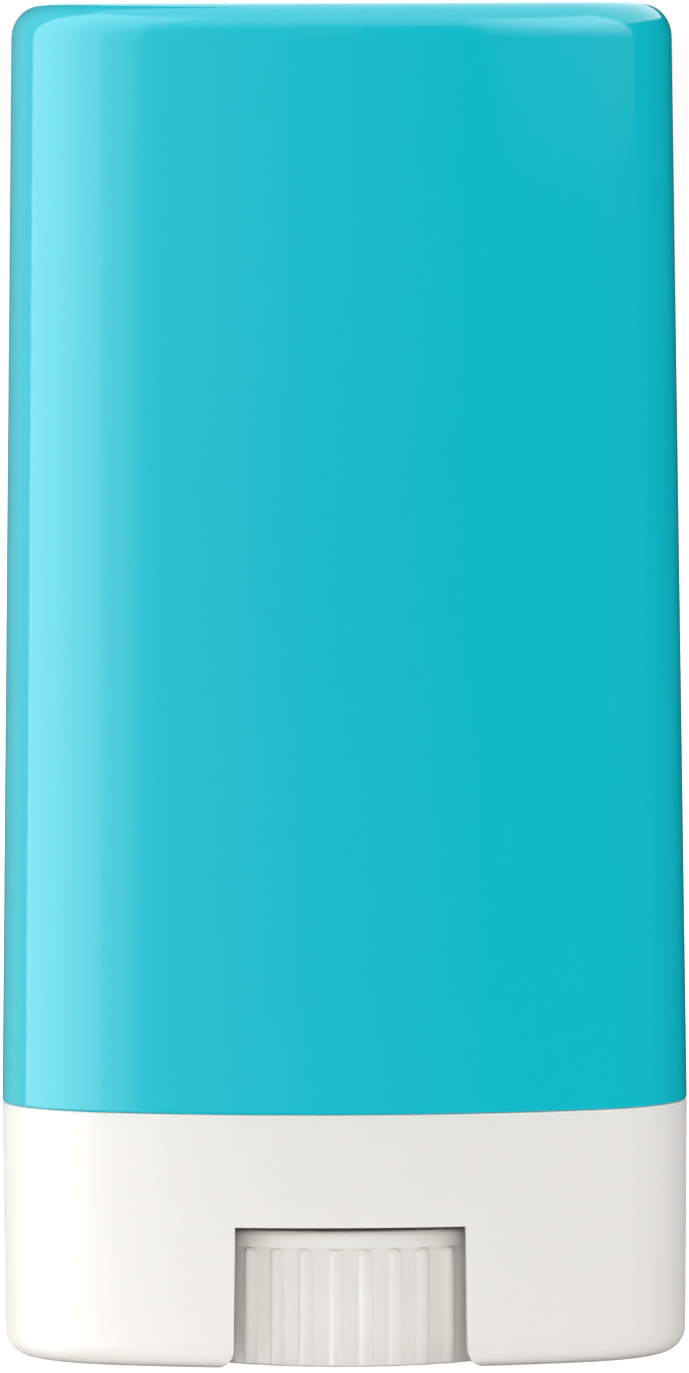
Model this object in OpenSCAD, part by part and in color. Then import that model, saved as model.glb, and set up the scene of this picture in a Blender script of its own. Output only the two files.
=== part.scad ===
// Twist-up sunscreen stick in an oval pack for about 12 ml of balm.
// A pull-off cap stands on the shoulder of the barrel. Below the shoulder a skirt with a window
// at the front and at the back holds the dial. The dial's screw runs up the barrel and lifts
// the carriage, which carries the balm. The foot of the skirt lies in the plane z = 0.

/* [Pack] */
// Width of the pack across its oval
body_w = 33; // [31:0.5:36]
// Depth of the pack from front to back
body_d = 19; // [18:0.5:21]
// Height of the closed pack
body_h = 65; // [58:0.5:72]

/* [Cap] */
// Wall of the cap
cap_wall = 1.1; // [0.9:0.1:1.3]
// Thickness of the cap's top
cap_top = 1.3; // [1:0.1:1.8]
// How much the cap narrows on each side up to its top edge
cap_taper = 0.64; // [0.4:0.02:0.8]
// Rounding of the cap's top edge
cap_edge_r = 1.7; // [1.2:0.1:2.2]
// Rounding inside the cap's top
cap_inner_r = 1; // [0.6:0.1:1.4]
// Bevel of the cap's lower edge and of the shoulder's edge
seam_bevel = 0.14; // [0.05:0.01:0.2]
// Clearance between the cap and the neck inside it
cap_gap = 0.25; // [0.15:0.05:0.4]

/* [Skirt] */
// Height of the shoulder that the cap stands on
skirt_h = 12.2; // [11:0.1:15]
// Wall of the skirt
skirt_wall = 2; // [1.8:0.1:2.3]
// How much the skirt narrows on each side down to its foot
skirt_taper = 0.1; // [0:0.05:0.3]
// Rounding of the skirt's lower edge
foot_r = 1.2; // [0.6:0.1:1.4]
// Width of the windows at their top
window_w = 11; // [10:0.2:13]
// How much the windows widen on each side down to the foot
window_flare = 0.1; // [0:0.05:0.3]
// Height of the windows
window_h = 6.8; // [6:0.1:8]
// Rounding of the skirt's corners beside the windows
window_r = 0.9; // [0.4:0.1:1.2]

/* [Barrel] */
// Wall of the neck where it meets the shoulder
neck_wall = 1.4; // [1.3:0.1:1.7]
// Bevel round the mouth of the neck
mouth_bevel = 0.3; // [0.1:0.05:0.4]
// How far the friction bead stands out of the neck
bead_h = 0.12; // [0.05:0.01:0.14]
// Height of the friction bead's foot above the shoulder
bead_rise = 2.4; // [1.5:0.1:4]
// Height of the friction bead along the neck
bead_w = 1; // [0.6:0.1:1.6]
// Height of each slope of the friction bead
bead_slope = 0.25; // [0.1:0.05:0.25]
// Thickness of the deck that closes the barrel above the dial
deck_t = 1.3; // [1:0.1:1.8]
// Wall of the bearing boss under the deck
boss_wall = 1.6; // [1.2:0.1:2.2]

/* [Dial] */
// How far the dial lies behind the front of the skirt
dial_recess = 1; // [0.7:0.1:1.5]
// Clearance round the dial inside the skirt
dial_gap = 0.5; // [0.3:0.1:0.8]
// Gap between the dial and the top of the windows
dial_drop = 0.3; // [0.2:0.05:0.6]
// Height of the dial's underside above the skirt's foot
dial_lift = 0.05; // [0.05:0.05:0.5]
// Wall of the dial
dial_wall = 1.2; // [0.9:0.1:1.6]
// Thickness of the dial's top
dial_top_t = 1.2; // [0.9:0.1:1.6]
// Rounding of the dial's top edge
dial_edge_r = 0.25; // [0.1:0.05:0.4]
// Number of finger ribs round the dial
rib_count = 36; // [30:1:42]
// Radius of a finger rib
rib_r = 0.36; // [0.25:0.01:0.45]
// How far a finger rib stands out
rib_h = 0.26; // [0.15:0.01:0.3]
// Height of the plain rim above the finger ribs
rim_h = 0.8; // [0.5:0.1:1.5]
// How far the plain rim lies inside the crests of the ribs
rim_in = 0.06; // [0:0.01:0.1]
// Thickness of the webs inside the dial
web_t = 0.9; // [0.7:0.1:1.2]
// Height of the webs and of the core's end above the dial's underside
web_lift = 1; // [0.4:0.1:1.4]
// Radius of the hole that cores out the journal
core_hole_r = 1.4; // [1:0.1:1.6]

/* [Screw] */
// Diameter of the screw over its thread
screw_d = 5.8; // [5.4:0.1:6.4]
// Depth of the thread
thread_depth = 0.65; // [0.5:0.05:0.8]
// Rise of the carriage for each turn of the dial
lead = 3; // [2.8:0.1:3.4]
// Width of the thread at its crest
crest_w = 0.8; // [0.6:0.05:1]
// How much wider the thread is at its root, on each side
flank_w = 0.4; // [0.3:0.05:0.5]
// Clearance of the thread on every side
thread_gap = 0.15; // [0.1:0.01:0.2]
// Clearance round the journal that turns in the boss
journal_gap = 0.1; // [0.06:0.01:0.15]
// How far the snap bead stands out above the deck
snap_out = 0.3; // [0.15:0.05:0.4]
// Height of the snap bead's straight foot
snap_foot = 0.25; // [0.2:0.05:0.4]
// Height of the snap bead's cone
snap_cone = 0.7; // [0.5:0.05:0.9]
// End play of the dial
end_play = 0.12; // [0.08:0.01:0.2]
// Bevel of the screw's tip
tip_bevel = 0.5; // [0.3:0.1:0.8]
// Distance of the screw's tip below the mouth of the barrel
tip_drop = 2; // [1:0.5:6]
// Length of plain root between the thread's end and the tip
tip_plain = 1.2; // [1:0.1:2]

/* [Carriage] */
// Clearance between the carriage and the barrel
carriage_gap = 0.12; // [0.08:0.01:0.2]
// Height of the carriage above what lies under it when it is down
carriage_lift = 0.3; // [0.2:0.05:0.5]
// Thickness of the carriage's plate
plate_t = 1.2; // [1:0.1:1.6]
// Height of the carriage's lip under its plate
lip_h = 1.8; // [1.4:0.1:2.6]
// Thickness of the carriage's lip
lip_t = 0.9; // [0.7:0.1:1.2]
// Wall of the threaded hub
hub_wall = 1.2; // [1:0.1:1.5]
// Height of the threaded hub
hub_h = 6.6; // [6:0.2:9]
// Height of the fins and pins that key the balm
key_h = 3; // [2:0.2:5]
// Thickness of the fins
fin_t = 0.9; // [0.7:0.1:1.2]
// Distance of the fins from the ends of the carriage
fin_margin = 3.5; // [2.5:0.1:4.5]
// Radius of the pins
pin_r = 0.8; // [0.6:0.1:1.1]
// Distance of the pins' axes from the sides of the carriage
pin_margin = 2.6; // [2:0.1:3]

/* [Balm] */
// Height of the balm's crown above the mouth of the barrel
crown_rise = 4.5; // [3.5:0.1:6]
// Height of the dome on the balm
dome_h = 4; // [2.5:0.1:4.5]
// Space between the balm's crown and the inside of the cap
head_room = 2.2; // [1.2:0.1:4]
// Shrinkage gap between the balm and what it is poured round
pour_gap = 0.05; // [0.03:0.01:0.1]

/* [Hidden] */
$fn = 96;

// Steps round the end arcs and the face arcs of the oval, round a corner and up the dome
end_steps = 20;
face_steps = 14;
corner_steps = 6;
dome_steps = 9;
// Where the dome's last ring lies on its quarter turn, which leaves a small flat at the crown
dome_end = 88;
// Steps in one turn of the thread
thread_steps = 20;

// The oval has four arcs. The line through the centres of two arcs that meet runs 5 across for
// 12 deep, so every centre and radius follows from the width and the depth without a root.
half_w = body_w / 2;
half_d = body_d / 2;
oval_unit = (half_w - half_d) / 4;
end_c = 5 * oval_unit;
end_r = half_d - oval_unit;
face_c = 12 * oval_unit;
face_r = half_d + face_c;
end_swing = atan(12 / 5);
face_swing = 180 - 2 * end_swing;

// Heights
cap_z = body_h - cap_top;
mouth_z = cap_z - head_room - crown_rise;
crown_z = mouth_z + crown_rise;
bead_z = skirt_h + bead_rise;
deck_z = skirt_h - deck_t;
dial_z = window_h - dial_drop;
boss_z = dial_z + end_play;
snap_z = skirt_h + end_play;
snap_top = snap_z + snap_foot + snap_cone;
hub_z = snap_top + carriage_lift;
tip_z = mouth_z - tip_drop;
lip_z = skirt_h + carriage_lift;
plate_z = lip_z + lip_h;
balm_z = plate_z + plate_t;

// Distances inwards from the outline of the pack
neck_in = cap_wall + cap_gap;
chamber_in = neck_in + neck_wall;
carriage_in = chamber_in + carriage_gap;

// Radii about the axis of the screw
dial_r = half_d - dial_recess;
rim_r = dial_r - rim_in;
side_r = dial_r - rib_h;
screw_r = screw_d / 2;
root_r = screw_r - thread_depth;
journal_r = screw_r + journal_gap;
bore_r = journal_r + journal_gap;
boss_r = bore_r + boss_wall;
nut_r = screw_r + thread_gap;
hub_r = nut_r + hub_wall;

// A thread's flank goes this far along the axis for each step outwards.
flank = flank_w / thread_depth;
// How far joined shapes are sunk into each other, and how far a cut runs past the face it opens
sunk = 0.2;
past = 1;

// The outline of the oval, moved inwards by inset and scaled by k
function oval_points(inset, k = 1) = [
    for (side = [k, -k]) each concat(
        [for (i = [0:end_steps - 1]) let (a = end_swing * (2 * i / end_steps - 1), r = end_r - inset)
            side * [end_c + r * cos(a), r * sin(a)]],
        [for (i = [0:face_steps - 1]) let (a = end_swing + face_swing * i / face_steps, r = face_r - inset)
            side * [r * cos(a), r * sin(a) - face_c]])
];

// A solid lofted through ovals. A station is [inset, height] or [inset, height, scale].
module oval_loft(stations) {
    count = 2 * (end_steps + face_steps);
    last = len(stations) - 1;
    points = [for (s = stations) for (p = oval_points(s[0], len(s) > 2 ? s[2] : 1)) [p[0], p[1], s[1]]];
    bottom = [for (i = [0:count - 1]) i];
    top = [for (i = [count - 1:-1:0]) last * count + i];
    sides = [for (j = [0:last - 1]) for (i = [0:count - 1])
        let (a = j * count + i, b = j * count + (i + 1) % count)
        [a, a + count, b + count, b]];
    polyhedron(points, concat([bottom], sides, [top]));
}

// Stations round a corner whose centre lies at an inset and a height
function corner(inset, z, r, from, to) = [
    for (i = [0:corner_steps]) let (a = from + (to - from) * i / corner_steps)
        [inset - r * cos(a), z + r * sin(a)]
];

// A straight block with the oval outline, from z0 up to z1
module oval_block(inset, z0, z1) translate([0, 0, z0]) linear_extrude(z1 - z0) polygon(oval_points(inset));

// A quarter disc up and outwards from a centre, which rounds an edge
module quarter(centre, r) {
    intersection() {
        translate(centre) circle(r);
        translate(centre) square(2 * r);
    }
}

// A left-hand thread ridge of trapezoid section. It starts at angle 0 with its middle at z.
// r0 and w0 are the radius and width of its foot, r1 and w1 those of its crest.
module ridge(z, turns, r0, w0, r1, w1) {
    steps = floor(turns * thread_steps);
    section = [[r0, -w0 / 2], [r1, -w1 / 2], [r1, w1 / 2], [r0, w0 / 2]];
    outward = r1 > r0;
    points = [for (i = [0:steps]) for (p = section)
        let (angle = -360 * i / thread_steps)
        [p[0] * cos(angle), p[0] * sin(angle), z + p[1] + lead * i / thread_steps]];
    sides = [for (i = [0:steps - 1]) for (j = [0:3])
        let (a = 4 * i + j, b = 4 * i + (j + 1) % 4)
        each [[a, b, b + 4], [a, b + 4, a + 4]]];
    ends = [[0, 3, 2], [0, 2, 1], [4 * steps, 4 * steps + 1, 4 * steps + 2],
        [4 * steps, 4 * steps + 2, 4 * steps + 3]];
    faces = concat(sides, ends);
    polyhedron(points, outward ? [for (f = faces) [f[2], f[1], f[0]]] : faces);
}

module cap() color([0.10, 0.74, 0.81]) {
    outside = concat(
        [[seam_bevel, skirt_h], [0, skirt_h + seam_bevel]],
        corner(cap_taper + cap_edge_r, body_h - cap_edge_r, cap_edge_r, 0, 90));
    inside = concat(
        [[cap_wall, skirt_h - past], [cap_wall, skirt_h]],
        corner(cap_taper + cap_wall + cap_inner_r, cap_z - cap_inner_r, cap_inner_r, 0, 90));
    difference() {
        oval_loft(outside);
        oval_loft(inside);
    }
}

// The outside of the barrel, from the foot of the skirt over the shoulder to the mouth
module barrel_body() {
    // The neck narrows with the cap.
    lean = cap_taper / (body_h - cap_edge_r - skirt_h);
    rim = neck_in + lean * (mouth_z - skirt_h);
    foot = corner(skirt_taper + foot_r, foot_r, foot_r, -90, 0);
    shoulder = [[0, skirt_h - seam_bevel], [seam_bevel, skirt_h], [neck_in, skirt_h]];
    bead = [
        [neck_in, bead_z], [neck_in - bead_h, bead_z + bead_slope],
        [neck_in - bead_h, bead_z + bead_w - bead_slope],
        [neck_in + lean * (bead_rise + bead_w), bead_z + bead_w]
    ];
    mouth = [[rim, mouth_z - mouth_bevel], [rim + mouth_bevel, mouth_z]];
    oval_loft(concat(foot, shoulder, bead, mouth));
}

// One window, seen from the front: its sides flare and run out into the rounded foot.
module window_outline() {
    low = window_w / 2 + window_flare;
    polygon([
        [-window_w / 2, window_h], [window_w / 2, window_h], [low, window_r], [low, -past],
        [-low, -past], [-low, window_r]
    ]);
    for (side = [-1, 1]) scale([side, 1]) difference() {
        translate([low - sunk, -past]) square([window_r + sunk, window_r + past]);
        translate([low + window_r, window_r]) circle(window_r);
    }
}

module barrel() color([0.94, 0.94, 0.92]) difference() {
    union() {
        difference() {
            barrel_body();
            oval_block(chamber_in, skirt_h, mouth_z + past);
            oval_block(skirt_wall, -past, deck_z);
        }
        translate([0, 0, boss_z]) cylinder(r = boss_r, h = deck_z + deck_t / 2 - boss_z);
    }
    rotate([90, 0, 0]) linear_extrude(2 * body_d, center = true) window_outline();
    translate([0, 0, -past]) cylinder(r = dial_r + dial_gap, h = window_h - dial_drop / 2 + past);
    cylinder(r = bore_r, h = skirt_h + past);
}

module dial_profile() {
    polygon([
        [side_r, dial_lift], [side_r, dial_z - rim_h], [rim_r, dial_z - rim_h],
        [rim_r, dial_z - dial_edge_r], [rim_r - dial_edge_r, dial_z - dial_edge_r],
        [rim_r - dial_edge_r, dial_z], [journal_r, dial_z], [journal_r, snap_z],
        [journal_r + snap_out, snap_z], [journal_r + snap_out, snap_z + snap_foot],
        [root_r, snap_top], [root_r, tip_z - tip_bevel], [root_r - tip_bevel, tip_z], [0, tip_z],
        [0, skirt_h], [core_hole_r, skirt_h], [core_hole_r, dial_lift + web_lift],
        [journal_r, dial_lift + web_lift], [journal_r, dial_z - dial_top_t],
        [side_r - dial_wall, dial_z - dial_top_t], [side_r - dial_wall, dial_lift]
    ]);
    quarter([rim_r - dial_edge_r, dial_z - dial_edge_r], dial_edge_r);
}

// A finger rib with a round upper end, just under the plain rim
module finger_rib() translate([dial_r - rib_r, 0, dial_lift]) rotate_extrude() {
    straight = dial_z - rim_h - rib_r - dial_lift;
    square([rib_r, straight]);
    quarter([0, straight], rib_r);
}

module dial_webs() {
    inner = (core_hole_r + journal_r) / 2;
    outer = side_r - dial_wall / 2;
    foot = dial_lift + web_lift;
    for (angle = [0:60:300]) rotate(angle) translate([inner, -web_t / 2, foot])
        cube([outer - inner, web_t, dial_z - dial_top_t / 2 - foot]);
}

module dial_screw() color([0.95, 0.95, 0.93]) {
    rotate_extrude() dial_profile();
    // A gap between two ribs faces the front.
    for (i = [0:rib_count - 1]) rotate(360 * (i + 0.5) / rib_count - 90) finger_rib();
    dial_webs();
    ridge(hub_z, (tip_z - hub_z - crest_w - tip_plain) / lead, root_r - sunk,
        crest_w + 2 * flank * (thread_depth + sunk), screw_r, crest_w);
}

module hub() {
    space = lead - crest_w - 2 * thread_gap;
    difference() {
        translate([0, 0, hub_z]) cylinder(r = hub_r, h = hub_h);
        translate([0, 0, hub_z - past]) cylinder(r = nut_r, h = hub_h + 2 * past);
    }
    ridge(hub_z + lead / 2, hub_h / lead - 1, nut_r + sunk,
        space + 2 * flank * (thread_gap + sunk), root_r + thread_gap,
        space - 2 * flank * (thread_depth - thread_gap));
}

// The fins and pins on the plate, which key the balm. For the hollows that they leave in the
// balm they are drawn larger by grow.
module keys(grow = 0) {
    fin_x = half_w - carriage_in - fin_margin + grow;
    pin_y = half_d - carriage_in - pin_margin;
    inner = hub_r - hub_wall / 2;
    foot = balm_z - sunk;
    height = key_h + sunk + grow;
    for (side = [0, 180]) rotate(side) {
        translate([inner, -fin_t / 2 - grow, foot]) cube([fin_x - inner, fin_t + 2 * grow, height]);
        for (y = [-pin_y, pin_y]) translate([end_c, y, foot]) cylinder(r = pin_r + grow, h = height);
    }
}

module carriage() color([0.92, 0.92, 0.90]) {
    difference() {
        oval_block(carriage_in, lip_z, balm_z);
        oval_block(carriage_in + lip_t, lip_z - past, plate_z);
        cylinder(r = hub_r - hub_wall / 2, h = body_h);
    }
    hub();
    keys();
}

module balm() color([0.97, 0.95, 0.88]) {
    // The dome's rings shrink from the full outline to a small flat at the crown.
    dome = [
        for (i = [1:dome_steps]) let (a = dome_end * i / dome_steps)
            [carriage_in, crown_z - dome_h + dome_h * sin(a) / sin(dome_end), cos(a)]
    ];
    difference() {
        oval_loft(concat([[carriage_in, balm_z], [carriage_in, crown_z - dome_h]], dome));
        cylinder(r = nut_r, h = tip_z + pour_gap + sunk);
        cylinder(r = hub_r + pour_gap, h = hub_z + hub_h + pour_gap);
        keys(pour_gap);
    }
}

cap();
barrel();
dial_screw();
carriage();
balm();
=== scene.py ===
"""The visible pieces of a twist-up sunscreen stick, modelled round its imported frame.

Heights and outlines come from the frame's own boxes. The sizes that a user would change are
properties in the panel, and every piece has an operator of its own.
"""

import math

import bmesh
import bpy
from bpy.props import FloatProperty, FloatVectorProperty, IntProperty, PointerProperty
from mathutils import Matrix, Vector


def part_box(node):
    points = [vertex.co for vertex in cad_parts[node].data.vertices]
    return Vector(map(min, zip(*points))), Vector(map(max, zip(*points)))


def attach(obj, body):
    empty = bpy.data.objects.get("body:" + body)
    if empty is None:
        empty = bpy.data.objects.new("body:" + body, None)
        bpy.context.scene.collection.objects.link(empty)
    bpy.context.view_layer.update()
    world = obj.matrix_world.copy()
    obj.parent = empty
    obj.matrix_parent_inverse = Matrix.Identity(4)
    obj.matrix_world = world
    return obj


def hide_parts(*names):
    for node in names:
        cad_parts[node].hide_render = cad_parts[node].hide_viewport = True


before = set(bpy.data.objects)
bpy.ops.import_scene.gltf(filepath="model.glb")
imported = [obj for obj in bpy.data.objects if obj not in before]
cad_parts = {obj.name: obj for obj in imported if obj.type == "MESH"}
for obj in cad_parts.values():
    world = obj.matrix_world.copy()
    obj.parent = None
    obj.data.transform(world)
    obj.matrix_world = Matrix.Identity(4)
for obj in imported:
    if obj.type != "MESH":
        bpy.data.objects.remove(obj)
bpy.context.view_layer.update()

bl_info = {
    "name": "Twist-up Stick",
    "version": (1, 0, 0),
    "blender": (4, 5, 0),
    "location": "View3D > Sidebar > Twist-up Stick",
    "description": "Builds the cap, barrel, dial and balm of a twist-up stick, and its studio",
    "category": "Add Mesh",
}

MM = 0.001

# Steps of the oval's end and face arcs, of a round corner of 1 mm radius, and of round parts
END_STEPS = 72
FACE_STEPS = 24
CORNER_STEPS = 8
ROUND_STEPS = 96
# Two vertices this close are one, and edges that turn by more than this angle stay sharp.
MERGE = 1e-7
SHARP = math.radians(38)
# How far a cutter runs past the face it opens
PAST = 2 * MM
# Roundings of small edges, from the finest to the widest
FINE_ROUND = 0.1 * MM
SMALL_ROUND = 0.15 * MM
SOFT_ROUND = 0.2 * MM
WIDE_ROUND = 0.3 * MM


def length(name, description, default):
    """A property for a size in metres."""
    return FloatProperty(name=name, description=description, default=default, unit="LENGTH",
                         subtype="DISTANCE", precision=5)


def colour(name, description, default):
    """A property for a colour."""
    return FloatVectorProperty(name=name, description=description, default=default, size=3, min=0, max=1,
                               subtype="COLOR")


class PackSizes(bpy.types.PropertyGroup):
    """The oval outline and the heights that the pieces share"""
    width: length("Width", "Width of the pack across its oval", 2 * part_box("cap")[1].x)
    depth: length("Depth", "Depth of the pack from front to back", 2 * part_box("cap")[1].y)
    height: length("Height", "Height of the closed pack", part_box("cap")[1].z)
    seam: length("Seam height", "Height of the shoulder that the cap stands on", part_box("cap")[0].z)
    mouth: length("Mouth height", "Height of the barrel's mouth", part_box("barrel")[1].z)
    seam_round: length("Seam rounding", "Rounding of the two edges that meet at the seam", 0.14 * MM)


class CapSizes(bpy.types.PropertyGroup):
    """Sizes of the cap"""
    wall: length("Wall", "Wall of the cap", 1.1 * MM)
    top: length("Top", "Thickness of the cap's top", 1.3 * MM)
    taper: length("Taper", "How much each side narrows up to the top edge", 0.64 * MM)
    edge: length("Edge rounding", "Rounding of the top edge", 1.7 * MM)
    inner_edge: length("Inner rounding", "Rounding inside the top", 1 * MM)


class BarrelSizes(bpy.types.PropertyGroup):
    """Sizes of the barrel"""
    skirt_wall: length("Skirt wall", "Wall of the skirt", 2 * MM)
    skirt_taper: length("Skirt taper", "How much each side of the skirt narrows to its foot", 0.1 * MM)
    foot: length("Foot rounding", "Rounding of the skirt's lower edge", 1.2 * MM)
    window_width: length("Window width", "Width of the windows at their top", 11 * MM)
    window_height: length("Window height", "Height of the windows", 6.8 * MM)
    window_flare: length("Window flare", "How much each side of a window widens to the foot", 0.1 * MM)
    window_corner: length("Window corner", "Rounding of the skirt's corners beside a window", 0.9 * MM)
    window_edge: length("Window edge", "Rounding of the edges round a window", 0.12 * MM)
    neck: length("Neck inset", "How far the neck lies inside the outline", 1.35 * MM)
    neck_wall: length("Neck wall", "Wall of the neck", 1.4 * MM)
    mouth_bevel: length("Mouth rounding", "Rounding of the mouth's outer edge", 0.3 * MM)
    bead_height: length("Bead", "How far the friction bead stands out of the neck", 0.12 * MM)
    bead_rise: length("Bead rise", "Height of the bead's foot above the shoulder", 2.4 * MM)
    bead_width: length("Bead width", "Height of the bead along the neck", 1 * MM)
    bead_slope: length("Bead slope", "Height of the slope above and below the bead", 0.25 * MM)
    deck: length("Deck", "Thickness of the deck above the dial", 1.3 * MM)
    boss: length("Boss radius", "Radius of the bearing boss", 4.7 * MM)
    boss_foot: length("Boss foot", "Height of the boss's underside", 6.62 * MM)
    bore: length("Bore radius", "Radius of the bore that the dial's journal turns in", 3.1 * MM)
    pocket: length("Pocket radius", "Radius of the space cut for the dial", 9 * MM)
    pocket_top: length("Pocket top", "Height of the space cut for the dial", 6.65 * MM)


class DialSizes(bpy.types.PropertyGroup):
    """Sizes of the dial and its screw"""
    radius: length("Radius", "Radius of the dial over its ribs", 8.5 * MM)
    top: length("Top", "Height of the dial's top", 6.5 * MM)
    top_wall: length("Top wall", "Thickness of the dial's top", 1.2 * MM)
    wall: length("Wall", "Wall of the dial", 1.2 * MM)
    ribs: IntProperty(name="Ribs", description="Number of finger ribs", default=36, min=12)
    rib_round: length("Rib rounding", "Radius of a finger rib", 0.36 * MM)
    rib_height: length("Rib height", "How far a finger rib stands out", 0.26 * MM)
    rim: length("Rim", "Height of the plain rim above the ribs", 0.8 * MM)
    rim_inset: length("Rim inset", "How far the rim lies inside the crests of the ribs", 0.06 * MM)
    edge: length("Edge rounding", "Rounding of the rim's top edge", 0.25 * MM)
    foot_edge: length("Foot rounding", "Rounding of the dial's lower edges", 0.15 * MM)
    web: length("Web", "Thickness of the webs inside the dial", 0.9 * MM)
    web_lift: length("Web lift", "Height of the webs above the dial's underside", 1 * MM)
    core_hole: length("Core hole", "Radius of the hole that cores out the journal", 1.4 * MM)
    journal: length("Journal radius", "Radius of the journal in the barrel's bore", 3 * MM)
    snap_out: length("Snap bead", "How far the snap bead stands out above the deck", 0.3 * MM)
    snap_foot: length("Snap foot", "Height of the snap bead's straight foot", 0.25 * MM)
    snap_cone: length("Snap cone", "Height of the snap bead's cone", 0.7 * MM)
    end_play: length("End play", "End play of the dial in the deck", 0.12 * MM)
    thread: length("Thread radius", "Radius over the screw's thread", 2.9 * MM)
    root: length("Root radius", "Radius of the screw's root", 2.25 * MM)
    lead: length("Lead", "Rise of the carriage in one turn", 3 * MM)
    crest: length("Crest", "Width of the thread at its crest", 0.8 * MM)
    flank: length("Flank", "How much wider the thread is at its root, on each side", 0.4 * MM)
    thread_start: length("Thread start", "Height at which the thread starts", 13.57 * MM)
    tip_bevel: length("Tip", "Rounding of the screw's tip", 0.5 * MM)
    tip_plain: length("Plain tip", "Length of plain root above the thread", 1.2 * MM)


class BalmSizes(bpy.types.PropertyGroup):
    """Sizes of the balm"""
    inset: length("Inset", "How far the balm lies inside the pack's outline", 2.87 * MM)
    dome: length("Dome", "Height of the dome", 4 * MM)
    foot_edge: length("Foot rounding", "Rounding of the balm's lower edge", 0.25 * MM)
    hub: length("Hub hollow", "Radius of the hollow for the carriage's hub", 4.3 * MM)
    hub_top: length("Hub hollow top", "Height of the top of the hub's hollow", 20.22 * MM)
    bore: length("Bore", "Radius of the hollow for the screw", 3.05 * MM)
    bore_top: length("Bore top", "Height of the top of the screw's hollow", 55.25 * MM)
    key: length("Key hollows", "Height of the hollows for the carriage's fins and pins", 3.05 * MM)
    fin: length("Fin hollow", "Width of the hollows for the fins", 1 * MM)
    fin_margin: length("Fin margin", "Distance of the fin hollows from the balm's ends", 3.45 * MM)
    pin: length("Pin hollow", "Radius of the hollows for the pins", 0.85 * MM)
    pin_margin: length("Pin margin", "Distance of the pins' axes from the balm's sides", 2.6 * MM)


class Finish(bpy.types.PropertyGroup):
    """Colours of the mouldings and the balm"""
    cap: colour("Cap", "Colour of the gloss cap", (0.004, 0.545, 0.668))
    cap_pale: colour("Cap, pale", "Lighter tint of the gloss cap", (0.006, 0.580, 0.692))
    white: colour("White", "Colour of the white mouldings", (0.900, 0.880, 0.830))
    white_pale: colour("White, pale", "Lighter tint of the white mouldings", (0.925, 0.905, 0.865))
    balm: colour("Balm", "Colour of the balm", (0.900, 0.860, 0.720))
    balm_pale: colour("Balm, pale", "Lighter tint of the balm", (0.930, 0.905, 0.800))


class Studio(bpy.types.PropertyGroup):
    """The camera and the lights"""
    distance: length("Distance", "Distance of the camera from the pack's axis", 690 * MM)
    rise: length("Camera height", "Height of the camera", 68.3 * MM)
    aim: length("Aim height", "Height on the pack's axis that the camera looks at", 32.1 * MM)
    aside: length("Aim aside", "How far right of the axis the camera looks", 0.045 * MM)
    turn: FloatProperty(name="Turn", description="How far the camera stands round to the left",
                        subtype="ANGLE", default=math.radians(1.67))
    roll: FloatProperty(name="Roll", description="How far the camera is rolled", subtype="ANGLE",
                        default=math.radians(-0.165))
    lens: FloatProperty(name="Lens", description="Focal length in millimetres", default=376.5, min=1)


class Oval:
    """The four arcs of the outline. The line through the centres of two arcs that meet runs 5
    across for 12 deep, so all their centres and radii follow from the width and the depth."""

    def __init__(self, pack):
        unit = (pack.width - pack.depth) / 8
        self.half_width = pack.width / 2
        self.half_depth = pack.depth / 2
        self.end_centre = 5 * unit
        self.face_centre = 12 * unit
        self.end_swing = math.atan(12 / 5)
        self.face_swing = math.pi - 2 * self.end_swing

    def arcs(self):
        """Centre, swing and steps of each arc, from the right end round by the back."""
        return (
            ((self.end_centre, 0, 0), self.end_swing, END_STEPS // 2),
            ((0, -self.face_centre, 0), self.face_swing, FACE_STEPS),
            ((-self.end_centre, 0, 0), 2 * self.end_swing, END_STEPS),
            ((0, self.face_centre, 0), self.face_swing, FACE_STEPS),
            ((self.end_centre, 0, 0), self.end_swing, END_STEPS // 2),
        )


def wall_slope(pack, cap):
    """How much the cap's wall leans in for each metre of height. It reaches its full taper
    where the rounding of the top edge starts."""
    return cap.taper / (pack.height - cap.edge - pack.seam)


def rounded_wire(bm, corners, closed=False):
    """A wire in the XZ plane through corners of (x, z, rounding)."""
    verts = [bm.verts.new((x, 0, z)) for x, z, _ in corners]
    edges = [bm.edges.new(pair) for pair in zip(verts, verts[1:])]
    if closed:
        edges.append(bm.edges.new((verts[-1], verts[0])))
    for vert, (_, _, radius) in zip(verts, corners):
        if radius:
            turn = vert.calc_edge_angle()
            steps = max(3, round(CORNER_STEPS * math.sqrt(radius / MM) * turn / (math.pi / 2)))
            bmesh.ops.bevel(bm, geom=[vert], offset=radius * math.tan(turn / 2), offset_type="OFFSET",
                            affect="VERTICES", segments=steps, profile=0.5, material=-1)


def sweep(bm, oval):
    """Carries the wire in bm round the oval and closes it."""
    geom = bm.verts[:] + bm.edges[:]
    for centre, swing, steps in oval.arcs():
        spun = bmesh.ops.spin(bm, geom=geom, cent=centre, axis=(0, 0, 1), angle=swing, steps=steps)
        geom = spun["geom_last"]
    bmesh.ops.remove_doubles(bm, verts=bm.verts[:], dist=MERGE)


def revolve(bm, steps=ROUND_STEPS):
    """Turns the wire in bm once round the axis of the dial and closes it, also at its poles."""
    bmesh.ops.spin(bm, geom=bm.verts[:] + bm.edges[:], cent=(0, 0, 0), axis=(0, 0, 1), angle=2 * math.pi,
                   steps=steps, use_merge=True)
    bmesh.ops.remove_doubles(bm, verts=bm.verts[:], dist=MERGE)
    face_outwards(bm)


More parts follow.
